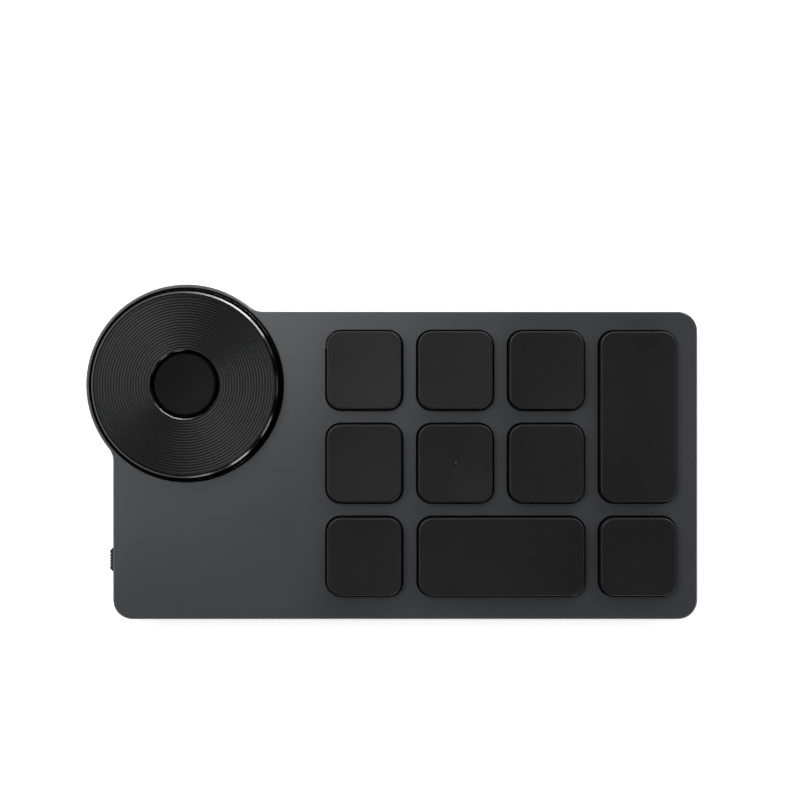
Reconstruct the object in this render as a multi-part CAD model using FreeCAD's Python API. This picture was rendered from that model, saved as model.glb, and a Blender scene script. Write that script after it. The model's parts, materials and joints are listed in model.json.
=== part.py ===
import FreeCAD, Part
import math
import os

# Macro keypad: a flat two-part case with a round lobe that carries a free-turning
# dial with a push button in its middle, ten flat keys and a slide switch on the left edge.
# Units mm. +X right, +Y to the rear edge, +Z up. Origin: middle of the overall
# outline at desk level (underside of the rubber feet).

os.makedirs("parts", exist_ok=True)
V = FreeCAD.Vector
UP = V(0, 0, 1)

# ---------------------------------------------------------------- driving sizes
# outline of the case
BODY_X0, BODY_X1 = -57.86, 63.40
BODY_Y0, BODY_Y1 = -34.73, 29.12
CORNER_R = 4.0
DIAL_X, DIAL_Y = -42.63, 13.92
LOBE_R = 20.85
NECK_R = 4.0            # concave rounding between the lobe and the straight sides
WALL = 1.6

# heights
FOOT_H = 0.8            # visible height of the feet
FLOOR_Z0, FLOOR_Z1 = 0.8, 2.2
SPLIT_Z = 2.8           # parting line between the two covers
LIP_Z = 3.8
PLATE_Z0, PLATE_Z1 = 8.2, 9.8
TOP_EDGE = 0.25         # chamfer along the top edge
BOTTOM_EDGE = 0.7       # chamfer along the bottom edge

# keys
COL_X = [-5.72, 13.12, 31.95, 50.92]
ROW_Y = [16.92, -2.33, -21.62]
CAP_W, CAP_D = 15.45, 16.1
CAP_W4 = 15.65
TALL_Y, TALL_D = 7.28, 35.25
WIDE_X, WIDE_W = 22.65, 34.3
CAP_R = 2.9
CAP_GAP = 0.42
CAP_TOP, CAP_SKIRT, CAP_ROOF = 12.0, 9.4, 11.05
CAP_WALL = 1.1
CAP_EDGE = 0.30         # rounding along the cap's top edge
CAP_DISH = 0.20         # depth of the shallow hollow in a single cap
CAP_DISH_LONG = 0.14    # and of the trough in a long one
KEY_TRAVEL = 1.3
STEM = 4.6              # square plunger under each cap
STEM_GAP = 0.08
STEM_Z = 6.2
GUIDE_Z0, GUIDE_Z1, GUIDE_TUBE_Z = 6.9, 7.9, 9.4
GUIDE_TUBE = 6.8
DOME_Z0, DOME_R = 4.0, 4.2

# stabiliser wires of the two long keys
WIRE_R = 0.40
WIRE_Z = 8.50
WIRE_BACK = 5.2         # distance of the wire's axis from the key's middle line
WIRE_ARM = 5.0
WIRE_RISE = 1.7
WIRE_SPAN = 13.0
WIRE_PIN = 2.0
WIRE_FIT = 0.06

# dial
MOAT_R, MOAT_Z = 20.28, 9.25
GROOVE_R, GROOVE_Z = 18.7, 8.9     # deeper groove round the moat, under the dial's rim
COLLAR_R, COLLAR_Z = 10.2, 11.1
HUB_R, HUB_BORE, HUB_Z = 8.40, 7.0, 5.4
HUB_FIT = 0.06
FLANGE_R, FLANGE_Z0, FLANGE_Z1 = 19.85, 9.45, 9.80
DIAL_R, DIAL_TOP, DIAL_EDGE = 19.22, 13.00, 0.36
DIAL_WALL_IN = 17.8
DECK_Z0, DECK_Z1 = 11.4, 12.2
FACE_R, FACE_HOLE = 18.73, 6.87
GROOVE_PITCH, GROOVE_DEPTH, GROOVE_LAND = 0.573, 0.05, 0.06
RING_R, RING_Z0, RING_Z1 = 12.4, 6.2, 7.8
NOTCHES, NOTCH_DEPTH = 24, 0.55
CLIP_R_IN, CLIP_R_OUT, CLIP_Z0 = 7.9, 9.4, 5.6
MAGNET_IN, MAGNET_OUT, MAGNET_Z0 = 9.9, 12.0, 5.2

# button in the middle of the dial
BTN_R, BTN_TOP, BTN_DISC = 6.37, 12.85, 12.05
BTN_TRAVEL = 0.40
GUIDE_R_OUT, GUIDE_R_IN, POST_Z = 6.6, 5.6, 11.4
PLUNGER_FIT = 0.08
ACT_TOP = 7.4

# board, battery
BOARD_Z0, BOARD_Z1 = 3.0, 4.0
BAT = (-47.6, -28.4, 2.4, 30.0, 20.0, 4.0)

# socket for the cable
USB_X = -16.2
USB_Y0, USB_Y1 = 21.7, 28.92
USB_W, USB_H, USB_T = 8.94, 3.26, 0.30

# slide switch on the left edge
SW_Y = -22.56
SW_LEN, SW_FLAT, SW_OUT = 4.84, 3.80, 1.05
SW_TRAVEL = 2.0
SW_Z0, SW_Z1 = 5.0, 7.2

CASE_SCREWS = [(60.3, 26.0), (60.0, -31.4), (-54.6, -31.4), (-54.1, 25.4), (-17.5, -31.2), (-24.0, 25.3)]
BOARD_SCREWS = [(3.875, 7.29), (41.5, 7.29), (3.875, -12.03), (41.5, -12.03), (-24.5, -1.9)]
STAKES = [(3.875, 7.29), (22.625, 7.29), (41.5, 7.29), (3.875, -12.03), (41.5, -12.03),
          (3.875, 25.9), (22.625, 25.9), (41.5, 25.9), (3.875, -31.0), (41.5, -31.0)]
FEET = [(51.5, 19.0), (51.5, -25.5), (-47.5, -25.5), (-47.0, 17.0)]
FOOT_R, FOOT_Z1 = 4.5, 1.5

PARTS = {}


# ---------------------------------------------------------------- helpers
def box(x0, y0, z0, x1, y1, z1):
    return Part.makeBox(x1 - x0, y1 - y0, z1 - z0, V(x0, y0, z0))


def cyl(x, y, z0, z1, r):
    return Part.makeCylinder(r, z1 - z0, V(x, y, z0), UP)


def tube(x, y, z0, z1, r_in, r_out):
    return cyl(x, y, z0, z1, r_out).cut(cyl(x, y, z0 - 1, z1 + 1, r_in))


def fuse(first, *rest):
    out = first
    for s in rest:
        out = out.fuse(s)
    return out.removeSplitter()


def fuse_all(shapes):
    out = shapes[0].multiFuse(shapes[1:]) if len(shapes) > 1 else shapes[0]
    return out.removeSplitter()


def cut_all(shape, tools):
    return shape.cut(tools) if tools else shape


def arc(p0, c, p1, r):
    """Arc from p0 to p1 about c, on the side that is the shorter way round."""
    a0 = math.atan2(p0[1] - c[1], p0[0] - c[0])
    a1 = math.atan2(p1[1] - c[1], p1[0] - c[0])
    d = (a1 - a0 + math.pi) % (2 * math.pi) - math.pi
    m = a0 + d / 2
    return Part.Arc(V(p0[0], p0[1], 0), V(c[0] + r * math.cos(m), c[1] + r * math.sin(m), 0), V(p1[0], p1[1], 0)).toShape()


def line(p0, p1):
    return Part.makeLine(V(p0[0], p0[1], 0), V(p1[0], p1[1], 0))


def outline(d, z):
    """The outline of the case, moved inwards by d, as a wire at height z."""
    x0, x1, y0, y1 = BODY_X0 + d, BODY_X1 - d, BODY_Y0 + d, BODY_Y1 - d
    r, lobe, neck = CORNER_R - d, LOBE_R - d, NECK_R + d
    cx0, cx1, cy0, cy1 = BODY_X0 + CORNER_R, BODY_X1 - CORNER_R, BODY_Y0 + CORNER_R, BODY_Y1 - CORNER_R
    # middles of the two concave neck roundings
    top_dy = BODY_Y1 + NECK_R - DIAL_Y
    top_c = (DIAL_X + math.sqrt((LOBE_R + NECK_R) ** 2 - top_dy ** 2), BODY_Y1 + NECK_R)
    left_dx = DIAL_X - (BODY_X0 - NECK_R)
    left_c = (BODY_X0 - NECK_R, DIAL_Y - math.sqrt((LOBE_R + NECK_R) ** 2 - left_dx ** 2))
    k = lobe / (LOBE_R + NECK_R)
    on_top = (DIAL_X + k * (top_c[0] - DIAL_X), DIAL_Y + k * (top_c[1] - DIAL_Y))
    on_left = (DIAL_X + k * (left_c[0] - DIAL_X), DIAL_Y + k * (left_c[1] - DIAL_Y))
    edges = [
        line((top_c[0], y1), (cx1, y1)),
        arc((cx1, y1), (cx1, cy1), (x1, cy1), r),
        line((x1, cy1), (x1, cy0)),
        arc((x1, cy0), (cx1, cy0), (cx1, y0), r),
        line((cx1, y0), (cx0, y0)),
        arc((cx0, y0), (cx0, cy0), (x0, cy0), r),
        line((x0, cy0), (x0, left_c[1])),
        arc((x0, left_c[1]), left_c, on_left, neck),
        arc(on_left, (DIAL_X, DIAL_Y), on_top, lobe),
        arc(on_top, top_c, (top_c[0], y1), neck),
    ]
    w = Part.Wire(edges)
    w.translate(V(0, 0, z))
    return w


def slab(d, z0, z1):
    return Part.Face(outline(d, z0)).extrude(V(0, 0, z1 - z0))


def rounded(cx, cy, w, h, r, z0, z1):
    """Upright block with rounded corners."""
    x0, x1, y0, y1 = cx - w / 2, cx + w / 2, cy - h / 2, cy + h / 2
    e = [
        line((x0 + r, y1), (x1 - r, y1)),
        arc((x1 - r, y1), (x1 - r, y1 - r), (x1, y1 - r), r),
        line((x1, y1 - r), (x1, y0 + r)),
        arc((x1, y0 + r), (x1 - r, y0 + r), (x1 - r, y0), r),
        line((x1 - r, y0), (x0 + r, y0)),
        arc((x0 + r, y0), (x0 + r, y0 + r), (x0, y0 + r), r),
        line((x0, y0 + r), (x0, y1 - r)),
        arc((x0, y1 - r), (x0 + r, y1 - r), (x0 + r, y1), r),
    ]
    w_ = Part.Wire(e)
    w_.translate(V(0, 0, z0))
    return Part.Face(w_).extrude(V(0, 0, z1 - z0))


def level_edges(shape, z, keep=lambda e: True):
    out = []
    for e in shape.Edges:
        b = e.BoundBox
        if abs(b.ZMin - z) < 1e-4 and abs(b.ZMax - z) < 1e-4 and keep(e):
            out.append(e)
    return out


def revolve(points, x, y):
    """Solid turned about the upright line through x, y from (radius, z) points."""
    pts = [V(x + r, y, z) for r, z in points]
    w = Part.makePolygon(pts + [pts[0]])
    return Part.Face(w).revolve(V(x, y, 0), UP, 360)


def save(name, shape):
    solids = shape.Solids
    shape = solids[0] if len(solids) == 1 else Part.makeCompound(solids)
    assert shape.isValid(), name
    PARTS[name] = shape
    shape.exportStep("parts/%s.step" % name)
    b = shape.BoundBox
    print("%-22s solids %2d  vol %9.2f  x %7.2f %7.2f  y %7.2f %7.2f  z %6.2f %6.2f" % (
        name, len(solids), shape.Volume, b.XMin, b.XMax, b.YMin, b.YMax, b.ZMin, b.ZMax))


KEYS = []   # (name, x, y, width, depth, long axis)
for r in range(3):
    for c in range(4):
        if c == 3 and r < 2:
            continue
        if r == 2 and c in (1, 2):
            continue
        KEYS.append(("r%dc%d" % (r + 1, c + 1), COL_X[c], ROW_Y[r], CAP_W4 if c == 3 else CAP_W, CAP_D, None))
KEYS.append(("tall", COL_X[3], TALL_Y, CAP_W4, TALL_D, "y"))
KEYS.append(("wide", WIDE_X, ROW_Y[2], WIDE_W, CAP_D, "x"))


# ---------------------------------------------------------------- top cover
def top_cover():
    s = slab(0, SPLIT_Z, PLATE_Z1)
    s = s.makeChamfer(TOP_EDGE, level_edges(s, PLATE_Z1))
    s = s.cut(slab(WALL, SPLIT_Z - 1, PLATE_Z0))
    adds = [cyl(x, y, FLOOR_Z1, PLATE_Z0 + 0.2, 1.9) for x, y in CASE_SCREWS]
    # shoulders, pins and flattened heads that hold the key frame
    for x, y in STAKES:
        adds += [cyl(x, y, GUIDE_Z1, PLATE_Z0 + 0.2, 1.0), cyl(x, y, GUIDE_Z0 - 0.1, PLATE_Z0, 0.6),
                 cyl(x, y, GUIDE_Z0 - 0.45, GUIDE_Z0, 1.1)]
    # collar in which the dial's hub turns
    adds.append(cyl(DIAL_X, DIAL_Y, PLATE_Z0, COLLAR_Z, COLLAR_R))
    # stiffening ribs over the battery
    for x in (-44.0, -33.0, -22.0):
        adds.append(box(x - 0.5, -29.5, 7.2, x + 0.5, -8.5, PLATE_Z0 + 0.2))
    # pad that carries the detent spring
    adds.append(box(DIAL_X - 3.2, DIAL_Y - 17.4, 7.0, DIAL_X + 3.2, DIAL_Y - 14.6, PLATE_Z0 + 0.2))
    moat = tube(DIAL_X, DIAL_Y, MOAT_Z, PLATE_Z1 + 3, COLLAR_R, MOAT_R)
    moat = moat.fuse(tube(DIAL_X, DIAL_Y, GROOVE_Z, PLATE_Z1, GROOVE_R, MOAT_R))
    s = fuse_all([s.cut(moat)] + adds)
    cuts = [cyl(DIAL_X, DIAL_Y, 0, 20, HUB_R + HUB_FIT)]
    for _, x, y, w, h, _a in KEYS:
        cuts.append(rounded(x, y, w + 2 * CAP_GAP, h + 2 * CAP_GAP, CAP_R + CAP_GAP, PLATE_Z0 - 0.6, 20))
    cuts += [cyl(x, y, 0, 7.0, 0.9) for x, y in CASE_SCREWS]
    # opening for the socket
    cuts.append(stadium(USB_X, 5.63, USB_W + 0.4, USB_H + 0.4, BODY_Y1 - 4, BODY_Y1 + 1))
    # slot for the slide switch
    cuts.append(box(BODY_X0 - 1, SW_Y - SW_LEN / 2 - 0.18, SW_Z0 - 0.2, BODY_X0 + WALL + 0.6,
                    SW_Y + SW_LEN / 2 + SW_TRAVEL + 0.18, SW_Z1 + 0.2))
    # pilot hole in the spring pad
    cuts.append(cyl(DIAL_X, DIAL_Y - 16.0, 6.0, 8.8, 0.6))
    return cut_all(s, cuts)


def stadium(cx, cz, w, h, y0, y1):
    """Flat block with half-round ends, lying along Y."""
    r = h / 2
    a = w / 2 - r
    return fuse(box(cx - a, y0, cz - r, cx + a, y1, cz + r),
                Part.makeCylinder(r, y1 - y0, V(cx - a, y0, cz), V(0, 1, 0)),
                Part.makeCylinder(r, y1 - y0, V(cx + a, y0, cz), V(0, 1, 0)))


# ---------------------------------------------------------------- bottom cover
def bottom_cover():
    s = slab(0, FLOOR_Z0, SPLIT_Z)
    s = s.makeChamfer(BOTTOM_EDGE, level_edges(s, FLOOR_Z0))
    s = s.cut(slab(WALL, FLOOR_Z1, SPLIT_Z + 1))
    lip = slab(WALL + 0.1, FLOOR_Z1 - 0.3, LIP_Z).cut(slab(WALL + 0.9, FLOOR_Z1 - 1, LIP_Z + 1))
    lip = lip.cut([cyl(x, y, 0, 9, 2.1) for x, y in CASE_SCREWS])
    adds = [lip]
    adds += [cyl(x, y, FLOOR_Z1 - 0.2, BOARD_Z0, 2.2) for x, y in BOARD_SCREWS]
    # posts under the board below the dial and the socket
    for x, y in ((DIAL_X - 9.0, DIAL_Y), (DIAL_X + 9.0, DIAL_Y), (USB_X, 24.0), (-52.4, -17.0), (55.0, 24.0), (55.0, -29.0), (-12.0, -29.0)):
        adds.append(cyl(x, y, FLOOR_Z1 - 0.2, BOARD_Z0, 1.4))
    # frame round the battery
    bx, by, bz, bw, bd, bh = BAT
    frame = box(bx - 1.0, by - 1.0, FLOOR_Z1 - 0.2, bx + bw + 1.0, by + bd + 1.0, 4.6).cut(
        box(bx - 0.2, by - 0.2, 0, bx + bw + 0.2, by + bd + 0.2, 9))
    frame = frame.cut([box(bx + bw - 7, by + bd - 1, FLOOR_Z1 + 0.6, bx + bw - 1, by + bd + 2, 9),
                       cyl(-17.5, -31.2, 0, 9, 2.3)])
    adds.append(frame)
    # stiffening ribs under the board
    for y in (11.5, -8.0, -27.5):
        adds.append(box(-12.0, y - 0.4, FLOOR_Z1 - 0.2, 58.0, y + 0.4, BOARD_Z0 - 0.15))
    s = fuse_all([s] + adds)
    cuts = []
    for x, y in CASE_SCREWS:
        cuts += [cyl(x, y, 0, 1.62, 1.95), cyl(x, y, 0, 3, 1.1), cyl(x, y, FLOOR_Z1, 9, 2.0)]
    for x, y in BOARD_SCREWS:
        cuts.append(cyl(x, y, 1.4, 4, 0.7))
    for x, y in FEET:
        cuts.append(cyl(x, y, 0, FOOT_Z1, FOOT_R + 0.15))
    # recess that frames the bare middle of the underside
    cuts.append(rounded(2.0, -2.8, 64.0, 26.0, 2.0, 0, FLOOR_Z0 + 0.25))
    return cut_all(s, cuts)


# ---------------------------------------------------------------- key frame
def key_frame():
    s = rounded((-13.6 + 58.0) / 2, (-31.8 + 26.9) / 2, 58.0 + 13.6, 26.9 + 31.8, 1.5, GUIDE_Z0, GUIDE_Z1)
    s = s.cut(box(-20, 20.6, 0, -10.6, 30, 20))
    adds, cuts = [], []
    for _, x, y, w, h, axis in KEYS:
        adds.append(rounded(x, y, GUIDE_TUBE, GUIDE_TUBE, 0.9, GUIDE_Z0 + 0.1, GUIDE_TUBE_Z))
        g = STEM / 2 + STEM_GAP
        cuts.append(box(x - g, y - g, 0, x + g, y + g, 20))
        # lightening holes beside each guide
        if axis is None:
            for sx in (-1, 1):
                cuts.append(rounded(x + sx * 5.9, y, 2.4, 8.0, 1.0, 0, 20))
    for _, x, y, w, h, axis in KEYS:
        if axis is None:
            continue
        for side in (-1, 1):
            for at in (9.6,):
                if axis == "x":
                    a = box(x + side * at - 0.8, y - WIRE_BACK - 0.95, GUIDE_Z1 - 0.2, x + side * at + 0.8, y - WIRE_BACK + 0.95, WIRE_Z + 0.8)
                    hole = Part.makeCylinder(WIRE_R + WIRE_FIT, 4, V(x + side * at - 2, y - WIRE_BACK, WIRE_Z), V(1, 0, 0))
                else:
                    a = box(x - WIRE_BACK - 0.95, y + side * at - 0.8, GUIDE_Z1 - 0.2, x - WIRE_BACK + 0.95, y + side * at + 0.8, WIRE_Z + 0.8)
                    hole = Part.makeCylinder(WIRE_R + WIRE_FIT, 4, V(x - WIRE_BACK, y + side * at - 2, WIRE_Z), V(0, 1, 0))
                adds.append(a)
                cuts.append(hole)
    s = fuse_all([s] + adds)
    cuts += [cyl(x, y, 0, 20, 0.75) for x, y in STAKES]
    # seats for the flattened heads
    cuts += [cyl(x, y, 0, GUIDE_Z0 + 0.02, 1.2) for x, y in STAKES]
    # slots under the long keys' wires and lightening windows
    for dx in (-1, 1):
        cuts.append(rounded(WIDE_X + dx * 6.2, ROW_Y[2] + 2.6, 3.4, 7.0, 1.0, 0, 20))
        cuts.append(rounded(COL_X[3] + 2.6, TALL_Y + dx * 6.2, 7.0, 3.4, 1.0, 0, 20))
    return cut_all(s, cuts)


# ---------------------------------------------------------------- keycaps
def keycap(x, y, w, h, axis, dot=False):
    s = rounded(x, y, w, h, CAP_R, CAP_SKIRT, CAP_TOP + 1)
    if axis is None:
        reach = math.hypot(w / 2 - 1.2, h / 2 - 1.2)
        r = reach ** 2 / (2 * CAP_DISH)
        tool = Part.makeSphere(r, V(x, y, CAP_TOP - CAP_DISH + r))
    else:
        reach = min(w, h) / 2
        r = reach ** 2 / (2 * CAP_DISH_LONG)
        z = CAP_TOP - CAP_DISH_LONG + r
        if axis == "x":
            tool = Part.makeCylinder(r, w + 20, V(x - w / 2 - 10, y, z), V(1, 0, 0))
        else:
            tool = Part.makeCylinder(r, h + 20, V(x, y - h / 2 - 10, z), V(0, 1, 0))
    s = s.cut(tool)
    top = max(s.Faces, key=lambda f: f.CenterOfMass.z)
    s = s.makeFillet(CAP_EDGE, top.Edges)
    s = s.cut(rounded(x, y, w - 2 * CAP_WALL, h - 2 * CAP_WALL, CAP_R - CAP_WALL, CAP_SKIRT - 1, CAP_ROOF))
    k = STEM / 2
    adds = [box(x - k, y - k, STEM_Z, x + k, y + k, CAP_ROOF + 0.2)]
    # catches that keep the cap in its guide
    for side in (-1, 1):
        adds.append(box(x - 1.0, y + side * k - 0.25, STEM_Z + 0.05, x + 1.0, y + side * k + 0.25, GUIDE_Z0 - 0.05)
                    .fuse(box(x - 1.0, y + side * (k + 0.15) - 0.25, STEM_Z + 0.05, x + 1.0, y + side * (k + 0.15) + 0.25, GUIDE_Z0 - 0.05)))
    # ribs from the plunger to the skirt
    for side in (-1, 1):
        adds.append(box(min(x + side * k, x + side * (w / 2 - 0.6)), y - 0.35, CAP_ROOF - 0.25, max(x + side * k, x + side * (w / 2 - 0.6)), y + 0.35, CAP_ROOF + 0.2))
        adds.append(box(x - 0.35, min(y + side * k, y + side * (h / 2 - 0.6)), CAP_ROOF - 0.25, x + 0.35, max(y + side * k, y + side * (h / 2 - 0.6)), CAP_ROOF + 0.2))
    cuts = [cyl(x, y, 0, 10.2, 1.2)]
    if axis:
        pin_z = WIRE_Z + WIRE_RISE
        lo, hi = -WIRE_BACK + WIRE_ARM, -WIRE_BACK + math.sqrt(WIRE_ARM ** 2 + WIRE_RISE ** 2 - (WIRE_RISE - KEY_TRAVEL) ** 2)
        g = WIRE_R + WIRE_FIT
        for side in (-1, 1):
            a0, a1 = sorted((side * (WIRE_SPAN - WIRE_PIN - 0.2), side * (WIRE_SPAN - 0.7)))
            if axis == "x":
                adds.append(box(x + a0, y - 1.5, pin_z - 0.85, x + a1, y + 1.6, CAP_ROOF + 0.2))
                cuts.append(box(x + a0 - 0.5, y + lo - g, pin_z - g, x + a1 + 0.5, y + 2.0, pin_z + g))
            else:
                adds.append(box(x - 1.5, y + a0, pin_z - 0.85, x + 1.6, y + a1, CAP_ROOF + 0.2))
                cuts.append(box(x + lo - g, y + a0 - 0.5, pin_z - g, x + 2.0, y + a1 + 0.5, pin_z + g))
        # the ribs leave room for the wire's arms
        if axis == "x":
            for side in (-1, 1):
                cuts.append(box(x + side * WIRE_SPAN - 0.9, y - 7.0, pin_z - 1.2, x + side * WIRE_SPAN + 0.9, y + 2.0, CAP_ROOF - 0.01))
        else:
            for side in (-1, 1):
                cuts.append(box(x - 7.0, y + side * WIRE_SPAN - 0.9, pin_z - 1.2, x + 2.0, y + side * WIRE_SPAN + 0.9, CAP_ROOF - 0.01))
    s = fuse_all([s] + adds)
    s = cut_all(s, cuts)
    if dot:
        bead = Part.makeSphere(0.5, V(x, y, CAP_TOP - CAP_DISH - 0.22))
        s = fuse(s, bead)
    return s


def dome(x, y):
    return revolve([(0, 6.2), (2.1, 6.2), (2.3, 6.0), (3.3, 4.55), (DOME_R, 4.45), (DOME_R, DOME_Z0),
                    (2.9, DOME_Z0), (2.8, 4.45), (1.7, 5.5), (1.2, 5.5), (1.2, 5.1), (0, 5.1)], x, y)


def wire(x, y, axis):
    """Bent wire: straight bar in the frame's eyes, two arms, two turned-in pins."""
    end = V(0, -WIRE_BACK + WIRE_ARM, WIRE_Z + WIRE_RISE)
    root = V(0, -WIRE_BACK, WIRE_Z)
    along = V(1, 0, 0)
    shapes = [Part.makeCylinder(WIRE_R, 2 * WIRE_SPAN, V(-WIRE_SPAN, 0, 0) + root, along)]
    d = end - root
    for side in (-1, 1):
        a = V(side * WIRE_SPAN, 0, 0)
        shapes += [Part.makeCylinder(WIRE_R, d.Length, root + a, d), Part.makeSphere(WIRE_R, root + a), Part.makeSphere(WIRE_R, end + a),
                   Part.makeCylinder(WIRE_R, WIRE_PIN, end + a, V(-side, 0, 0))]
    s = fuse_all(shapes)
    if axis == "y":
        s.rotate(V(0, 0, 0), UP, -90)
    s.translate(V(x, y, 0))
    return s


# ---------------------------------------------------------------- dial
def dial_knob():
    s = revolve([
        (HUB_BORE, HUB_Z), (HUB_R, HUB_Z), (HUB_R, CLIP_Z0 - 0.02), (CLIP_R_IN - 0.02, CLIP_Z0 - 0.02), (CLIP_R_IN - 0.02, RING_Z0),
        (HUB_R, RING_Z0), (HUB_R, DECK_Z0), (DIAL_WALL_IN, DECK_Z0), (DIAL_WALL_IN, FLANGE_Z0), (FLANGE_R - 0.12, FLANGE_Z0), (FLANGE_R, FLANGE_Z0 + 0.12),
        (FLANGE_R, FLANGE_Z1 - 0.12), (FLANGE_R - 0.12, FLANGE_Z1), (DIAL_R, FLANGE_Z1), (DIAL_R, DIAL_TOP - DIAL_EDGE),
        (DIAL_R - DIAL_EDGE, DIAL_TOP), (FACE_R + 0.05, DIAL_TOP), (FACE_R + 0.05, DECK_Z1), (HUB_BORE, DECK_Z1)], DIAL_X, DIAL_Y)
    # stiffening ribs under the deck
    ribs = []
    for k in range(8):
        b = box(DIAL_X + COLLAR_R + 0.9, DIAL_Y - 0.5, DECK_Z0 - 0.7, DIAL_X + DIAL_WALL_IN + 0.3, DIAL_Y + 0.5, DECK_Z0 + 0.2)
        b.rotate(V(DIAL_X, DIAL_Y, 0), UP, 45.0 * k)
        ribs.append(b)
    s = fuse_all([s] + ribs)
    # drive flats for the detent ring
    key = box(DIAL_X - 1.0, DIAL_Y + HUB_R - 0.45, RING_Z0, DIAL_X + 1.0, DIAL_Y + HUB_R + 1, RING_Z1 + 0.05)
    return s.cut(key)


def dial_face():
    pts = [(FACE_HOLE, DECK_Z1), (FACE_HOLE, DIAL_TOP - 0.33), (FACE_HOLE + 0.33, DIAL_TOP)]
    r = FACE_HOLE + 0.33 + 0.10
    while r + GROOVE_PITCH < FACE_R - 0.10:
        mid = r + GROOVE_PITCH / 2
        pts += [(r + GROOVE_LAND, DIAL_TOP), (mid - 0.03, DIAL_TOP - GROOVE_DEPTH), (mid + 0.03, DIAL_TOP - GROOVE_DEPTH), (r + GROOVE_PITCH - GROOVE_LAND, DIAL_TOP)]
        r += GROOVE_PITCH
    pts += [(FACE_R - 0.08, DIAL_TOP), (FACE_R, DIAL_TOP - 0.08), (FACE_R, DECK_Z1)]
    clean = [pts[0]]
    for p in pts[1:]:
        if math.hypot(p[0] - clean[-1][0], p[1] - clean[-1][1]) > 1e-4:
            clean.append(p)
    return revolve(clean, DIAL_X, DIAL_Y)


def detent_ring():
    s = tube(DIAL_X, DIAL_Y, RING_Z0, RING_Z1, HUB_R + 0.02, RING_R)
    cuts = []
    for k in range(NOTCHES):
        a = 2 * math.pi * k / NOTCHES - math.pi / 2
        cuts.append(cyl(DIAL_X + (RING_R + 0.55) * math.cos(a), DIAL_Y + (RING_R + 0.55) * math.sin(a), 0, 20, 1.1))
    s = s.cut(cuts)
    key = box(DIAL_X - 0.9, DIAL_Y + HUB_R - 0.40, RING_Z0, DIAL_X + 0.9, DIAL_Y + HUB_R + 0.4, RING_Z1)
    return fuse(s, key)


def retaining_clip():
    s = tube(DIAL_X, DIAL_Y, CLIP_Z0, RING_Z0 - 0.02, CLIP_R_IN, CLIP_R_OUT)
    return s.cut(box(DIAL_X - 2.4, DIAL_Y - 12, 0, DIAL_X + 2.4, DIAL_Y, 20))


def ring_magnet():
    return tube(DIAL_X, DIAL_Y, MAGNET_Z0, RING_Z0, MAGNET_IN, MAGNET_OUT)


def detent_spring():
    """Leaf with a round nose that points at the notched ring, screwed to the pad."""
    y0 = DIAL_Y - 16.0
    base = box(DIAL_X - 3.0, y0 - 1.3, 6.7, DIAL_X + 3.0, y0 + 1.3, 7.0).cut(cyl(DIAL_X, y0, 6, 8, 0.8))
    # upright leaf that runs along X in front of the ring
    leaf = box(DIAL_X - 3.0, y0 + 1.15, 6.3, DIAL_X - 2.75 + 5.75, y0 + 1.40, 7.0)
    nose = Part.makeCylinder(0.95, 0.7, V(DIAL_X, y0 + 2.52, 6.3), UP).common(box(DIAL_X - 2, y0 + 1.2, 0, DIAL_X + 2, y0 + 4, 20))
    neck = box(DIAL_X - 0.95, y0 + 1.3, 6.3, DIAL_X + 0.95, y0 + 2.52, 7.0)
    return fuse(base, leaf, nose, neck)


# ---------------------------------------------------------------- middle button
def button_guide():
    s = tube(DIAL_X, DIAL_Y, BOARD_Z1, POST_Z, GUIDE_R_IN, GUIDE_R_OUT)
    foot = tube(DIAL_X, DIAL_Y, BOARD_Z1, BOARD_Z1 + 0.7, GUIDE_R_IN, 8.2)
    pins = []
    for a in (45, 135, 225, 315):
        x, y = DIAL_X + 7.4 * math.cos(math.radians(a)), DIAL_Y + 7.4 * math.sin(math.radians(a))
        pins.append(cyl(x, y, BOARD_Z0 - 0.3, BOARD_Z1 + 0.2, 0.55))
    s = fuse_all([s, foot] + pins)
    cuts = []
    for side in (-1, 1):
        x0, x1 = sorted((DIAL_X + side * 5.0, DIAL_X + side * 7.0))
        cuts.append(box(x0, DIAL_Y - 0.75, 9.2, x1, DIAL_Y + 0.75, 10.65))
    return cut_all(s, cuts)


def button_cap():
    s = revolve([(0, BTN_TOP - 0.18), (1.6, BTN_TOP - 0.165), (3.2, BTN_TOP - 0.12), (4.8, BTN_TOP - 0.05), (5.9, BTN_TOP), (BTN_R - 0.28, BTN_TOP), (BTN_R, BTN_TOP - 0.28), (BTN_R, BTN_DISC),
                 (GUIDE_R_IN - PLUNGER_FIT, BTN_DISC), (GUIDE_R_IN - PLUNGER_FIT, 8.8), (4.5, 8.8), (4.5, BTN_DISC - 0.1), (1.5, BTN_DISC - 0.1), (1.5, ACT_TOP), (0, ACT_TOP)], DIAL_X, DIAL_Y)
    ribs = [box(DIAL_X - 4.7, DIAL_Y - 0.4, 10.6, DIAL_X + 4.7, DIAL_Y + 0.4, BTN_DISC), box(DIAL_X - 0.4, DIAL_Y - 4.7, 10.6, DIAL_X + 0.4, DIAL_Y + 4.7, BTN_DISC)]
    # two catches that ride in the guide's windows
    for side in (-1, 1):
        x0, x1 = sorted((DIAL_X + side * 5.0, DIAL_X + side * 6.25))
        ribs.append(box(x0, DIAL_Y - 0.6, 9.8, x1, DIAL_Y + 0.6, 10.6))
    return fuse_all([s] + ribs)


def tact_switch():
    s = rounded(DIAL_X, DIAL_Y, 6.0, 6.0, 0.4, BOARD_Z1, 6.4)
    s = s.cut(cyl(DIAL_X, DIAL_Y, 5.2, 9, 1.75))
    return s


def tact_cover():
    s = rounded(DIAL_X, DIAL_Y, 5.6, 5.6, 0.4, 6.4, 6.65).cut(cyl(DIAL_X, DIAL_Y, 0, 9, 1.95))
    return s


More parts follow.
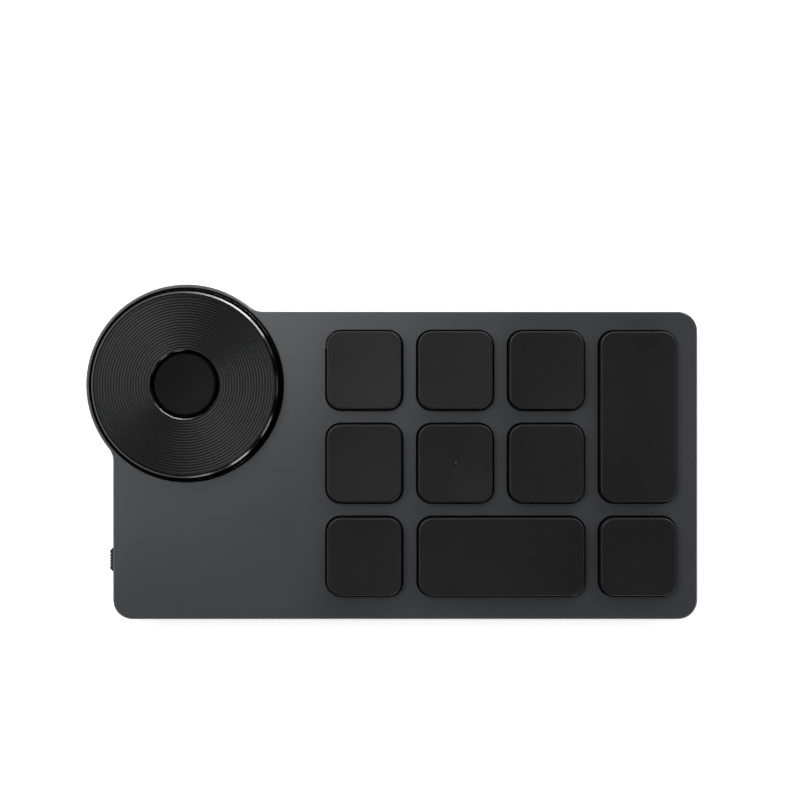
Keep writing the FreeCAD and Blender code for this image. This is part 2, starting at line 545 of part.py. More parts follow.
def tact_legs():
    out = []
    for sx in (-1, 1):
        for sy in (-1, 1):
            x, y = DIAL_X + sx * 3.0, DIAL_Y + sy * 2.25
            x0, x1 = sorted((x, x + sx * 0.9))
            out.append(box(x0, y - 0.35, BOARD_Z1, x1, y + 0.35, BOARD_Z1 + 0.2))
    return Part.makeCompound(out)


def switch_actuator():
    return cyl(DIAL_X, DIAL_Y, 5.8, ACT_TOP, 1.6)


# ---------------------------------------------------------------- board and what sits on it
def main_board():
    s = box(-14.5, -31.6, BOARD_Z0, 58.0, 26.4, BOARD_Z1)
    s = fuse_all([s, box(-41.0, -6.0, BOARD_Z0, -14.0, 26.4, BOARD_Z1), cyl(DIAL_X, DIAL_Y, BOARD_Z0, BOARD_Z1, 17.6),
                  box(-55.2, -28.4, BOARD_Z0, -49.4, 6.0, BOARD_Z1)])
    cuts = [cyl(x, y, 0, 9, 2.4) for x, y in CASE_SCREWS]
    cuts += [cyl(x, y, 0, 9, 0.95) for x, y in BOARD_SCREWS]
    for a in (45, 135, 225, 315):
        cuts.append(cyl(DIAL_X + 7.4 * math.cos(math.radians(a)), DIAL_Y + 7.4 * math.sin(math.radians(a)), 0, 9, 0.65))
    return cut_all(s, cuts)


def board_components():
    z = BOARD_Z1
    out = [
        box(-32.0, -3.8, z, -27.0, 1.2, z + 0.9),          # controller
        box(-23.0, 9.0, z, -19.0, 13.0, z + 0.8),          # memory
        box(-24.2, 1.6, z, -21.0, 4.8, z + 0.9),           # charger
        box(-19.6, 16.4, z, -16.6, 18.8, z + 0.9),         # protection
        box(-20.0, -1.0, z, -17.5, 1.0, z + 1.1),          # inductor
        box(-52.6, -6.0, z, -50.4, -3.0, z + 0.8),
    ]
    for k in range(5):
        out.append(box(-31.6 + 1.3 * k, 2.2, z, -31.0 + 1.3 * k, 3.2, z + 0.5))
    for k in range(4):
        out.append(box(-24.0 + 1.5 * k, 6.0, z, -23.2 + 1.5 * k, 6.5, z + 0.5))
    for k in range(4):
        out.append(box(-52.8, -12.0 + 1.4 * k, z, -51.8, -11.4 + 1.4 * k, z + 0.5))
    return Part.makeCompound(out)


def hall_sensor():
    x, y = DIAL_X + 11.0, DIAL_Y
    return box(x - 1.0, y - 1.5, BOARD_Z1, x + 1.0, y + 1.5, BOARD_Z1 + 0.85)


def board_screws():
    out = []
    for x, y in BOARD_SCREWS:
        s = fuse(cyl(x, y, BOARD_Z1, BOARD_Z1 + 0.8, 1.5), cyl(x, y, 1.5, BOARD_Z1 + 0.2, 0.68))
        out.append(cross_cut(s, x, y, BOARD_Z1 + 0.8, 0.5, 1.7, 0.35, -1))
    return Part.makeCompound(out)


def cross_cut(s, x, y, z, depth, size, width, down):
    z0, z1 = sorted((z - down * 0.1, z + down * depth))
    a = box(x - size / 2, y - width / 2, z0, x + size / 2, y + width / 2, z1)
    b = box(x - width / 2, y - size / 2, z0, x + width / 2, y + size / 2, z1)
    return s.cut([a, b])


def case_screws():
    out = []
    for x, y in CASE_SCREWS:
        head = cyl(x, y, 0.95, 1.62, 1.7)
        head = head.makeChamfer(0.2, level_edges(head, 0.95))
        s = fuse(head, cyl(x, y, 1.5, 6.6, 0.86))
        out.append(cross_cut(s, x, y, 0.95, 0.45, 2.0, 0.42, 1))
    return Part.makeCompound(out)


def rubber_feet():
    out = []
    for x, y in FEET:
        s = cyl(x, y, 0, FOOT_Z1, FOOT_R)
        out.append(s.makeFillet(0.35, level_edges(s, 0)))
    return Part.makeCompound(out)


def battery():
    x, y, z, w, d, h = BAT
    s = box(x, y, z, x + w, y + d - 2.2, z + h)
    s = s.makeFillet(0.8, [e for e in s.Edges if e.BoundBox.YLength > 5])
    # folded sealing strip along the rear with the protection board under it
    strip = box(x + 0.4, y + d - 2.4, z + 0.9, x + w - 0.4, y + d, z + 2.3)
    return fuse(s, strip)


def battery_pad():
    x, y, z, w, d, h = BAT
    return box(x + 2, y + 2, FLOOR_Z1, x + w - 2, y + d - 4.5, z)


def battery_connector():
    return box(-25.6, -5.2, BOARD_Z1, -20.6, -4.2, BOARD_Z1 + 2.2).fuse(box(-25.6, -5.6, BOARD_Z1, -20.6, -4.2, BOARD_Z1 + 0.6)).removeSplitter()


def battery_leads():
    """Two insulated leads from the battery's strip up to the connector."""
    x, y, z, w, d, h = BAT
    out = []
    for k, px in ((0, -23.9), (1, -22.3)):
        p = [V(px, y + d + 0.0, z + 1.6), V(px, y + d + 1.6, z + 1.6), V(px, y + d + 2.1, z + 3.0), V(px, -5.2, z + 3.0)]
        r = 0.5
        shapes = []
        for a, b in zip(p, p[1:]):
            e = b - a
            if e.Length > 1e-6:
                shapes.append(Part.makeCylinder(r, e.Length, a, e))
        shapes += [Part.makeSphere(r, q) for q in p[1:-1]]
        out.append(fuse_all(shapes))
    return Part.makeCompound(out)


# ---------------------------------------------------------------- socket
def usb_c_shell():
    z = BOARD_Z1 + USB_H / 2
    s = stadium(USB_X, z, USB_W, USB_H, USB_Y0, USB_Y1)
    s = s.cut(stadium(USB_X, z, USB_W - 2 * USB_T, USB_H - 2 * USB_T, USB_Y0 + USB_T, USB_Y1 + 1))
    tabs = []
    for sx in (-1, 1):
        x = USB_X + sx * 4.32
        tabs += [box(x - 0.15, 22.6, BOARD_Z1 + 0.001, x + 0.15, 23.6, BOARD_Z1 + 1.4), box(x - 0.15, 26.0 - 0.2, BOARD_Z1 + 0.001, x + 0.15, 26.3, BOARD_Z1 + 1.4)]
    return fuse_all([s] + tabs)


def usb_c_tongue():
    z = BOARD_Z1 + USB_H / 2
    blade = box(USB_X - 3.34, USB_Y0 + USB_T, z - 0.35, USB_X + 3.34, USB_Y1 - 0.55, z + 0.35)
    block = stadium(USB_X, z, USB_W - 2 * USB_T - 0.04, USB_H - 2 * USB_T - 0.04, USB_Y0 + USB_T, USB_Y0 + USB_T + 1.3)
    return fuse(blade, block)


def usb_c_contacts():
    z = BOARD_Z1 + USB_H / 2
    out = []
    for k in range(12):
        x = USB_X - 2.75 + 0.5 * k
        out.append(box(x - 0.12, USB_Y0 + USB_T + 1.3, z + 0.35, x + 0.12, USB_Y1 - 1.1, z + 0.39))
        out.append(box(x - 0.12, USB_Y0 + USB_T + 1.3, z - 0.39, x + 0.12, USB_Y1 - 1.1, z - 0.35))
    return Part.makeCompound(out)


# ---------------------------------------------------------------- slide switch
def slide_switch():
    y0, y1 = SW_Y - 3.4, SW_Y + 3.4 + SW_TRAVEL
    s = box(-56.0, y0, BOARD_Z1, -52.2, y1, 7.4)
    s = s.cut(box(-57.0, SW_Y - 1.5, 5.1, -53.0, SW_Y + 1.5 + SW_TRAVEL, 6.5))
    return s


def slide_switch_legs():
    out = []
    for k in range(3):
        y = SW_Y - 1.2 + 2.2 * k
        out.append(box(-52.2, y - 0.3, BOARD_Z1, -51.2, y + 0.3, BOARD_Z1 + 0.25))
    return Part.makeCompound(out)


def power_slider():
    x0 = BODY_X0 - SW_OUT
    zs, ze = SW_Z0, SW_Z1
    pts = [(x0, SW_Y - SW_FLAT / 2), (x0, SW_Y + SW_FLAT / 2), (x0 + 0.5, SW_Y + SW_LEN / 2), (-56.55, SW_Y + SW_LEN / 2),
           (-56.55, SW_Y - SW_LEN / 2), (x0 + 0.5, SW_Y - SW_LEN / 2)]
    w = Part.makePolygon([V(a, b, zs) for a, b in pts + [pts[0]]])
    knob = Part.Face(w).extrude(V(0, 0, ze - zs))
    # grip ribs on the face
    ribs = []
    for k in (-2, -1, 0, 1, 2):
        ribs.append(box(x0 - 0.1, SW_Y + 0.62 * k - 0.12, zs - 0.1, x0 + 0.16, SW_Y + 0.62 * k + 0.12, ze + 0.1))
    knob = knob.cut(ribs)
    tail = box(-56.8, SW_Y - 1.3, 5.25, -53.3, SW_Y + 1.3, 6.35)
    return fuse(knob, tail)


# ---------------------------------------------------------------- write everything
save("top_cover", top_cover())
save("bottom_cover", bottom_cover())
save("key_frame", key_frame())
for name, x, y, w, h, axis in KEYS:
    save("keycap_" + name, keycap(x, y, w, h, axis, dot=(name == "r2c2")))
    save("dome_" + name, dome(x, y))
for name, x, y, w, h, axis in KEYS:
    if axis:
        save("stabiliser_" + name, wire(x, y, axis))
save("dial_knob", dial_knob())
save("dial_face", dial_face())
save("detent_ring", detent_ring())
save("retaining_clip", retaining_clip())
save("ring_magnet", ring_magnet())
save("detent_spring", detent_spring())
sx, sy = DIAL_X, DIAL_Y - 16.0
save("detent_spring_screw", cross_cut(fuse(cyl(sx, sy, 5.95, 6.7, 1.08), cyl(sx, sy, 6.5, 8.4, 0.58)), sx, sy, 5.95, 0.4, 1.4, 0.3, 1))
save("button_guide", button_guide())
save("button_cap", button_cap())
save("switch_actuator", switch_actuator())
save("tact_switch", tact_switch())
save("tact_cover", tact_cover())
save("tact_legs", tact_legs())
save("main_board", main_board())
save("board_components", board_components())
save("hall_sensor", hall_sensor())
save("board_screws", board_screws())
save("case_screws", case_screws())
save("rubber_feet", rubber_feet())
save("battery", battery())
save("battery_pad", battery_pad())
save("battery_connector", battery_connector())
save("battery_leads", battery_leads())
save("usb_c_shell", usb_c_shell())
save("usb_c_tongue", usb_c_tongue())
save("usb_c_contacts", usb_c_contacts())
save("slide_switch", slide_switch())
save("slide_switch_legs", slide_switch_legs())
save("power_slider", power_slider())
print(len(PARTS), "parts")
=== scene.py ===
import bpy
import bmesh
import json
import math
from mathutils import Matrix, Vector

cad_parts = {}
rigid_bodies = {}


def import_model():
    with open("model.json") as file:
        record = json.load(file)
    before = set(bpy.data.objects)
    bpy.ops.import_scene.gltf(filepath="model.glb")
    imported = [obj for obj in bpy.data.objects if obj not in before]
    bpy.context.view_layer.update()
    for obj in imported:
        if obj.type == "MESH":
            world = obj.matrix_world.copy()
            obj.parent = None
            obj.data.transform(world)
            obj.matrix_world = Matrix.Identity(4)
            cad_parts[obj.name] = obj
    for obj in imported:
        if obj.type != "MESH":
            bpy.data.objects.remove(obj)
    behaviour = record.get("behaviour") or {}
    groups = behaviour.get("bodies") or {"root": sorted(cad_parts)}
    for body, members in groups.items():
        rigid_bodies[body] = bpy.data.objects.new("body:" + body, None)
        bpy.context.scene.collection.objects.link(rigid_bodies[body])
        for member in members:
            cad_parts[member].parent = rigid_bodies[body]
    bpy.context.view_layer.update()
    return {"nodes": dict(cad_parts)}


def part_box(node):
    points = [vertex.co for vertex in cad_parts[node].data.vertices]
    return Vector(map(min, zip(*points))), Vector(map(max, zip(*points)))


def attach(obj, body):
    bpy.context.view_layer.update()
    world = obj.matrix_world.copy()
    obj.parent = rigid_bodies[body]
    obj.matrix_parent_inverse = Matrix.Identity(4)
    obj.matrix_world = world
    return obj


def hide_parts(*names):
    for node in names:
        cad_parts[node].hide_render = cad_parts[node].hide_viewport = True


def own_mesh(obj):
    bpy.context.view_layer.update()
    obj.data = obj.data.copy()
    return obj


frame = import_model()
nodes = frame["nodes"]
MM = 0.001
DIAL = (-42.63 * MM, 13.92 * MM)

scene = bpy.context.scene
scene.view_settings.view_transform = "Standard"
scene.view_settings.look = "None"


# ------------------------------------------------------------------ node helpers
class Mat:
    """A small builder for procedural materials."""

    def __init__(self, name):
        self.m = bpy.data.materials.new(name)
        self.m.use_nodes = True
        self.t = self.m.node_tree
        self.n = self.t.nodes
        self.bsdf = self.n["Principled BSDF"]
        self.coord = self.n.new("ShaderNodeTexCoord")

    def new(self, kind, **values):
        node = self.n.new(kind)
        for k, v in values.items():
            setattr(node, k, v)
        return node

    def link(self, a, b):
        self.t.links.new(a, b)

    def base(self, **values):
        names = {"color": "Base Color", "metallic": "Metallic", "roughness": "Roughness", "ior": "IOR", "specular": "Specular IOR Level",
                 "coat": "Coat Weight", "coat_roughness": "Coat Roughness", "sheen": "Sheen Weight", "sheen_roughness": "Sheen Roughness",
                 "subsurface": "Subsurface Weight", "anisotropic": "Anisotropic", "turn": "Anisotropic Rotation", "alpha": "Alpha", "transmission": "Transmission Weight"}
        for k, v in values.items():
            if k == "color":
                v = (*v, 1.0)
            self.bsdf.inputs[names[k]].default_value = v

    def noise(self, scale, detail=4.0, rough=0.55, space="Object", stretch=None, distortion=0.0):
        t = self.new("ShaderNodeTexNoise")
        t.inputs["Scale"].default_value = scale
        t.inputs["Detail"].default_value = detail
        t.inputs["Roughness"].default_value = rough
        t.inputs["Distortion"].default_value = distortion
        src = self.coord.outputs[space]
        if stretch:
            mp = self.new("ShaderNodeMapping")
            mp.inputs["Scale"].default_value = stretch
            self.link(src, mp.inputs["Vector"])
            src = mp.outputs["Vector"]
        self.link(src, t.inputs["Vector"])
        return t.outputs["Fac"]

    def cells(self, scale, feature="F1", space="Object"):
        t = self.new("ShaderNodeTexVoronoi", feature=feature)
        t.inputs["Scale"].default_value = scale
        self.link(self.coord.outputs[space], t.inputs["Vector"])
        return t.outputs["Distance"]

    def span(self, fac, a, b, lo=0.0, hi=1.0):
        """fac from lo..hi mapped to a..b"""
        t = self.new("ShaderNodeMapRange")
        t.inputs["From Min"].default_value = lo
        t.inputs["From Max"].default_value = hi
        t.inputs["To Min"].default_value = a
        t.inputs["To Max"].default_value = b
        self.link(fac, t.inputs["Value"])
        return t.outputs["Result"]

    def blend(self, fac, c0, c1):
        t = self.new("ShaderNodeMix", data_type="RGBA")
        for sock, c in ((t.inputs[6], c0), (t.inputs[7], c1)):
            if isinstance(c, tuple):
                sock.default_value = (*c, 1.0)
            else:
                self.link(c, sock)
        self.link(fac, t.inputs[0])
        return t.outputs[2]

    def math(self, op, a, b=None):
        t = self.new("ShaderNodeMath", operation=op)
        for k, v in enumerate((a, b)):
            if v is None:
                continue
            if isinstance(v, (int, float)):
                t.inputs[k].default_value = v
            else:
                self.link(v, t.inputs[k])
        return t.outputs[0]

    def bump(self, height, strength, distance, under=None):
        t = self.new("ShaderNodeBump")
        t.inputs["Strength"].default_value = strength
        t.inputs["Distance"].default_value = distance
        self.link(height, t.inputs["Height"])
        if under is not None:
            self.link(under, t.inputs["Normal"])
        return t.outputs["Normal"]

    def radius(self, x, y):
        """distance from the upright line through x, y in object space"""
        sep = self.new("ShaderNodeSeparateXYZ")
        self.link(self.coord.outputs["Object"], sep.inputs[0])
        dx = self.math("SUBTRACT", sep.outputs[0], x)
        dy = self.math("SUBTRACT", sep.outputs[1], y)
        return self.math("SQRT", self.math("ADD", self.math("MULTIPLY", dx, dx), self.math("MULTIPLY", dy, dy))), sep, dx, dy

    def color(self, c):
        self.link(c, self.bsdf.inputs["Base Color"])

    def rough(self, r):
        self.link(r, self.bsdf.inputs["Roughness"])

    def normal(self, nrm):
        self.link(nrm, self.bsdf.inputs["Normal"])


# ------------------------------------------------------------------ materials
def moulded(name, color, dark, rough_lo, rough_hi, grain, grain_depth, wear=0.0, specular=0.5, wells=False, polished=None):
    """Moulded plastic: spark-eroded grain, faint flow mottling, handling marks.
    wells: painted shade; the walls of the dial's well and of the key openings, below the plate top, are painted
    near-black and made metallic so the gaps read dark.
    polished: (x, y, radius) of a spot that stays smooth, such as a homing dot."""
    m = Mat(name)
    m.base(specular=specular)
    big = m.noise(55, 3, 0.5)
    fine = m.noise(grain, 3, 0.6)
    spots = m.noise(420, 2, 0.5)
    c = m.blend(m.span(big, 0, 1, 0.3, 0.7), dark, color)
    c = m.blend(m.span(fine, 0, 0.35, 0.35, 0.75), c, tuple(min(1, v * 1.5 + 0.002) for v in color))
    if wells:
        rad, sep, _, _ = m.radius(*DIAL)
        box = None
        for k, a, b in ((0, -14.6 * MM, 60.2 * MM), (1, -31.2 * MM, 26.4 * MM)):
            side = m.math("MULTIPLY", m.math("GREATER_THAN", sep.outputs[k], a), m.math("LESS_THAN", sep.outputs[k], b))
            box = side if box is None else m.math("MULTIPLY", box, side)
        # painted shade: below the plate top, inside the dial's well and the key openings, the colour goes near-black
        # and metallic so these gaps look shaded
        well_shade = m.math("MULTIPLY", m.math("MAXIMUM", box, m.math("LESS_THAN", rad, 20.30 * MM)), m.math("LESS_THAN", sep.outputs[2], 9.76 * MM))
        c = m.blend(well_shade, c, (0.004, 0.004, 0.004))
        m.link(m.math("MULTIPLY", well_shade, 1.0), m.bsdf.inputs["Metallic"])
    m.color(c)
    r = m.math("ADD", m.span(big, rough_lo, rough_hi, 0.3, 0.7), m.span(fine, -0.03, 0.03, 0.3, 0.7))
    if wear:
        r = m.math("SUBTRACT", r, m.span(spots, 0, wear, 0.5, 0.8))
    if polished:
        at = m.math("LESS_THAN", m.radius(polished[0], polished[1])[0], polished[2])
        r = m.math("SUBTRACT", r, m.math("MULTIPLY", at, 0.24))
    m.rough(r)
    pits = m.cells(grain * 0.7)
    n1 = m.bump(pits, 0.25, grain_depth)
    m.normal(m.bump(fine, 0.35, grain_depth, n1))
    return m.m


def turned_black(name, x, y, pitch, depth, color, rough_lo, rough_hi, flat=True, cuts=(), seat_shade=None, aniso=0.0):
    """Black anodised aluminium with the fine spiral a lathe tool leaves.
    cuts: (coordinate "r" or "z", from, to, roughness) of the diamond-cut bevels, which are bright and smooth.
    seat_shade: (radius, height) below which the ring round the foot of the knob is painted near-black and matt: painted
    shade where the knob's wall shades it."""
    m = Mat(name)
    m.base(metallic=1.0)
    if aniso:
        # the turned spiral spreads reflections across its lines
        m.base(anisotropic=aniso, turn=0.25)
        m.link(m.new("ShaderNodeTangent", direction_type="RADIAL", axis="Z").outputs[0], m.bsdf.inputs["Tangent"])
    rad, sep, dx, dy = m.radius(x, y)
    z = sep.outputs[2]
    r = rad if flat else z
    wave = m.math("SINE", m.math("MULTIPLY", r, 2 * math.pi / pitch))
    # each turn is cut a little differently
    turn = m.new("ShaderNodeTexNoise", noise_dimensions="1D")
    turn.inputs["Scale"].default_value = 1.0
    turn.inputs["Detail"].default_value = 3.0
    m.link(m.math("MULTIPLY", r, 0.9 / pitch), turn.inputs["W"])
    big = m.noise(70, 3, 0.5)
    c = m.blend(m.span(turn.outputs["Fac"], 0, 1, 0.3, 0.7), tuple(v * 0.94 for v in color), tuple(v * 1.06 for v in color))
    c = m.blend(m.span(big, 0, 0.2, 0.35, 0.7), c, tuple(v * 1.25 for v in color))
    rough = m.math("ADD", m.span(turn.outputs["Fac"], rough_lo, rough_hi, 0.3, 0.7), m.span(big, -0.02, 0.03, 0.3, 0.7))
    mask = None
    for axis, a, b, cut_rough in cuts:
        v = rad if axis == "r" else z
        inside = m.math("MULTIPLY", m.math("GREATER_THAN", v, a), m.math("LESS_THAN", v, b))
        rough = m.math("ADD", m.math("MULTIPLY", rough, m.math("SUBTRACT", 1.0, inside)),
                       m.math("MULTIPLY", inside, m.span(big, cut_rough - 0.02, cut_rough + 0.03, 0.3, 0.7)))
        mask = inside if mask is None else m.math("MAXIMUM", mask, inside)
    if seat_shade:
        # painted shade: the flat ring round the knob's foot, which the knob's wall shades, is coloured near-black and
        # made matt
        low = m.math("MULTIPLY", m.math("LESS_THAN", rad, seat_shade[0]), m.math("LESS_THAN", z, seat_shade[1]))
        c = m.blend(low, c, (0.002, 0.002, 0.002))
        rough = m.math("MAXIMUM", rough, m.math("MULTIPLY", low, 0.62))
    m.color(c)
    m.rough(rough)
    if mask is not None:
        wave = m.math("MULTIPLY", wave, m.math("SUBTRACT", 1.0, mask))
    n1 = m.bump(wave, 0.5, depth)
    m.normal(m.bump(m.noise(3500, 2, 0.5), 0.10, 0.000006, n1))
    return m.m


def metal(name, color, rough_lo, rough_hi, brush=None, scratch=0.2):
    m = Mat(name)
    m.base(metallic=1.0)
    g = m.noise(900, 3, 0.6, stretch=brush or (1, 1, 1))
    big = m.noise(120, 3, 0.5)
    m.color(m.blend(m.span(big, 0, 1, 0.3, 0.7), tuple(v * 0.85 for v in color), color))
    m.rough(m.math("ADD", m.span(g, rough_lo, rough_hi, 0.3, 0.7), m.span(big, -0.03, 0.05, 0.3, 0.7)))
    m.normal(m.bump(g, scratch, 0.00002))
    return m.m


def rubber(name, color, rough=0.85):
    m = Mat(name)
    m.base(specular=0.3, sheen=0.15, sheen_roughness=0.5)
    big = m.noise(300, 3, 0.5)
    fine = m.noise(2600, 2, 0.6)
    dust = m.noise(900, 4, 0.7)
    c = m.blend(m.span(big, 0, 1, 0.3, 0.7), tuple(v * 0.75 for v in color), color)
    m.color(m.blend(m.span(dust, 0, 0.25, 0.55, 0.8), c, (0.12, 0.115, 0.105)))
    m.rough(m.span(big, rough - 0.08, rough + 0.05, 0.3, 0.7))
    m.normal(m.bump(fine, 0.4, 0.00003))
    return m.m


def plain(name, color, rough, scale=500, metallic=0.0, var=0.15, depth=0.00002, **more):
    m = Mat(name)
    m.base(metallic=metallic, **more)
    g = m.noise(scale, 3, 0.55)
    m.color(m.blend(m.span(g, 0, 1, 0.3, 0.7), tuple(v * (1 - var) for v in color), tuple(min(1, v * (1 + var)) for v in color)))
    m.rough(m.span(g, rough - 0.05, rough + 0.05, 0.3, 0.7))
    m.normal(m.bump(g, 0.25, depth))
    return m.m


case_grey = moulded("case_grey", (0.0250, 0.0264, 0.0303), (0.0230, 0.0243, 0.0280), 0.33, 0.38, 4200, 0.000010, wear=0.02, specular=0.75, wells=True)
base_grey = moulded("base_grey", (0.0205, 0.0214, 0.0240), (0.0175, 0.0183, 0.0206), 0.46, 0.55, 2600, 0.00003, specular=0.55)
key_black = moulded("key_black", (0.0026, 0.0026, 0.0026), (0.0022, 0.0022, 0.0022), 0.38, 0.44, 4600, 0.000008, wear=0.03, specular=0.34, polished=(13.12 * MM, -2.33 * MM, 0.45 * MM))
button_black = moulded("button_black", (0.0026, 0.0026, 0.0026), (0.0022, 0.0022, 0.0022), 0.34, 0.40, 5200, 0.000008, specular=0.155)
slider_black = moulded("slider_black", (0.010, 0.010, 0.010), (0.008, 0.008, 0.008), 0.45, 0.52, 4200, 0.00001, specular=0.4)
TOP = 13.0 * MM
face_black = turned_black("face_black", DIAL[0], DIAL[1], 0.00011, 0.0000015, (0.032, 0.032, 0.0325), 0.36, 0.40, aniso=0.75,
                          cuts=[("r", 0.0, 7.24 * MM, 0.16), ("r", 18.63 * MM, 0.03, 0.16)])
side_black = turned_black("side_black", DIAL[0], DIAL[1], 0.00016, 0.000004, (0.046, 0.046, 0.0465), 0.24, 0.30, flat=False,
                          cuts=[("z", TOP - 0.37 * MM, TOP + 0.001, 0.14), ("z", 9.4 * MM, 9.85 * MM, 0.15)], seat_shade=(19.73 * MM, 9.95 * MM))
steel = metal("steel_plain", (0.58, 0.58, 0.57), 0.22, 0.36)
screw_black = metal("screw_black", (0.05, 0.05, 0.052), 0.34, 0.5)
shell_steel = metal("shell_steel", (0.62, 0.62, 0.61), 0.2, 0.34, brush=(1, 6, 1))
gold = metal("gold_plate", (0.83, 0.62, 0.28), 0.2, 0.3)
ferrite = plain("ferrite", (0.05, 0.05, 0.052), 0.6, 1400)
silicone = plain("silicone", (0.5, 0.5, 0.48), 0.55, 700, subsurface=0.2)
foot_rubber = rubber("foot_rubber", (0.018, 0.018, 0.018))
pom_black = plain("pom_black", (0.006, 0.006, 0.0063), 0.5, 900, specular=0.12)
pom_white = plain("pom_white", (0.7, 0.7, 0.67), 0.4, 900, var=0.04)
component = plain("component_black", (0.02, 0.02, 0.02), 0.5, 1800)
board = plain("board_mask", (0.012, 0.06, 0.028), 0.3, 400, var=0.25)
foil = metal("pouch_foil", (0.6, 0.6, 0.6), 0.25, 0.45, scratch=0.5)
foam = plain("foam", (0.03, 0.03, 0.03), 0.95, 2500, depth=0.0001)
lead_red = plain("lead_red", (0.35, 0.02, 0.02), 0.35, 700)

LOOK = {"top_cover": case_grey, "bottom_cover": base_grey, "key_frame": pom_black, "dial_knob": side_black, "dial_face": face_black,
        "detent_ring": pom_white, "retaining_clip": steel, "ring_magnet": ferrite, "detent_spring": steel, "detent_spring_screw": steel,
        "button_guide": pom_black, "button_cap": button_black, "switch_actuator": pom_white, "tact_switch": component, "tact_cover": steel,
        "tact_legs": steel, "main_board": board, "board_components": component, "hall_sensor": component, "board_screws": steel,
        "case_screws": screw_black, "rubber_feet": foot_rubber, "battery": foil, "battery_pad": foam, "battery_connector": pom_white,
        "battery_leads": lead_red, "usb_c_shell": shell_steel, "usb_c_tongue": component, "usb_c_contacts": gold, "slide_switch": component,
        "slide_switch_legs": steel, "power_slider": slider_black}
for name, obj in nodes.items():
    if name.startswith("keycap_"):
        mat = key_black
    elif name.startswith("dome_"):
        mat = silicone
    elif name.startswith("stabiliser_"):
        mat = steel
    else:
        mat = LOOK[name]
    obj.data.materials.clear()
    obj.data.materials.append(mat)


# ------------------------------------------------------------------ rubber domes
# half section of a dome in mm from its middle line: crown, bell-shaped wall, flat foot, then back inside to the contact
DOME = [(0, 6.2), (1.90, 6.2), (2.10, 6.17), (2.24, 6.06), (2.36, 5.84), (2.60, 5.45), (2.92, 4.97), (3.16, 4.67), (3.40, 4.51), (3.70, 4.46), (4.10, 4.45),
        (4.18, 4.42), (4.20, 4.34), (4.20, 4.0), (2.90, 4.0), (2.87, 4.22), (2.74, 4.50), (2.42, 4.84), (2.06, 5.18), (1.80, 5.38), (1.62, 5.47), (1.45, 5.5),
        (1.20, 5.5), (1.20, 5.1), (0, 5.1)]


def dome(key, spokes=48):
    """The dome under a key, built as a still turned mesh; the real one folds as the plunger comes down on it."""
    node = "dome_" + key
    low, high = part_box(node)
    x, y = (low[0] + high[0]) / 2, (low[1] + high[1]) / 2
    bm = bmesh.new()
    rows = []
    for r, z in DOME:
        if r == 0:
            rows.append([bm.verts.new((x, y, z * MM))])
        else:
            rows.append([bm.verts.new((x + r * MM * math.cos(2 * math.pi * k / spokes), y + r * MM * math.sin(2 * math.pi * k / spokes), z * MM)) for k in range(spokes)])
    for a, b in zip(rows, rows[1:]):
        for k in range(spokes):
            j = (k + 1) % spokes
            ring = [a[0], b[k], b[j]] if len(a) == 1 else [a[k], b[0], a[j]] if len(b) == 1 else [a[k], b[k], b[j], a[j]]
            bm.faces.new(ring)
    bmesh.ops.recalc_face_normals(bm, faces=bm.faces)
    me = bpy.data.meshes.new("soft_" + node)
    bm.to_mesh(me)
    bm.free()
    for p in me.polygons:
        p.use_smooth = True
    o = bpy.data.objects.new("soft_" + node, me)
    scene.collection.objects.link(o)
    o.data.materials.append(silicone)
    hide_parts(node)
    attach(o, "base")
    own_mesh(o)


for name in sorted(nodes):
    if name.startswith("dome_"):
        dome(name[5:])


# ------------------------------------------------------------------ floor
FLOOR_GLOW = 0.58


def disc(name, rings, spokes, z_of):
    """A round mesh of rings about the upright axis; z_of gives each ring's height."""
    bm = bmesh.new()
    rows = []
    for r in rings:
        rows.append([bm.verts.new((r * math.cos(2 * math.pi * k / spokes), r * math.sin(2 * math.pi * k / spokes), z_of(r))) for k in range(spokes)])
    bm.faces.new(rows[0])
    for inner, outer in zip(rows, rows[1:]):
        for k in range(spokes):
            j = (k + 1) % spokes
            bm.faces.new((inner[k], outer[k], outer[j], inner[j]))
    bmesh.ops.recalc_face_normals(bm, faces=bm.faces)
    me = bpy.data.meshes.new(name)
    bm.to_mesh(me)
    bm.free()
    for p in me.polygons:
        p.use_smooth = True
    o = bpy.data.objects.new(name, me)
    scene.collection.objects.link(o)
    return o


def floor():
    """A pale light table: white, faintly lit from within, brighter far away where the lamps don't reach."""
    m = Mat("floor")
    m.base(specular=0.1)
    g = m.noise(9, 3, 0.5)
    m.color(m.blend(m.span(g, 0, 1, 0.3, 0.7), (0.89, 0.89, 0.89), (0.91, 0.91, 0.91)))
    m.rough(m.span(g, 0.85, 0.95))
    rad = m.radius(0.0, 0.0)[0]
    m.bsdf.inputs["Emission Color"].default_value = (1, 1, 1, 1)
    m.link(m.span(rad, FLOOR_GLOW, 1.05, 0.35, 1.0), m.bsdf.inputs["Emission Strength"])
    o = disc("floor", [0.05, 0.2, 0.5, 1.0, 2.0, 3.9], 64, lambda r: 0.0)
    o.data.materials.append(m.m)


def backdrop():
    """The pale studio behind the object in level views. It only shows; the lamps do the lighting."""
    m = Mat("backdrop")
    m.base(color=(0, 0, 0), specular=0.0)
    g = m.noise(0.6, 2, 0.5)
    m.bsdf.inputs["Emission Color"].default_value = (1, 1, 1, 1)
    m.link(m.span(g, 1.0, 1.06, 0.3, 0.7), m.bsdf.inputs["Emission Strength"])
    rings = [0.02 * 3.9] + [3.9 * math.sin(math.radians(5 + 85 * k / 16)) for k in range(17)]
    o = disc("backdrop", rings, 64, lambda r: math.sqrt(max(0.0, 3.9 ** 2 - r ** 2)) - 0.001)
    o.data.materials.append(m.m)
    o.visible_diffuse = o.visible_glossy = o.visible_transmission = o.visible_volume_scatter = o.visible_shadow = False


floor()
backdrop()


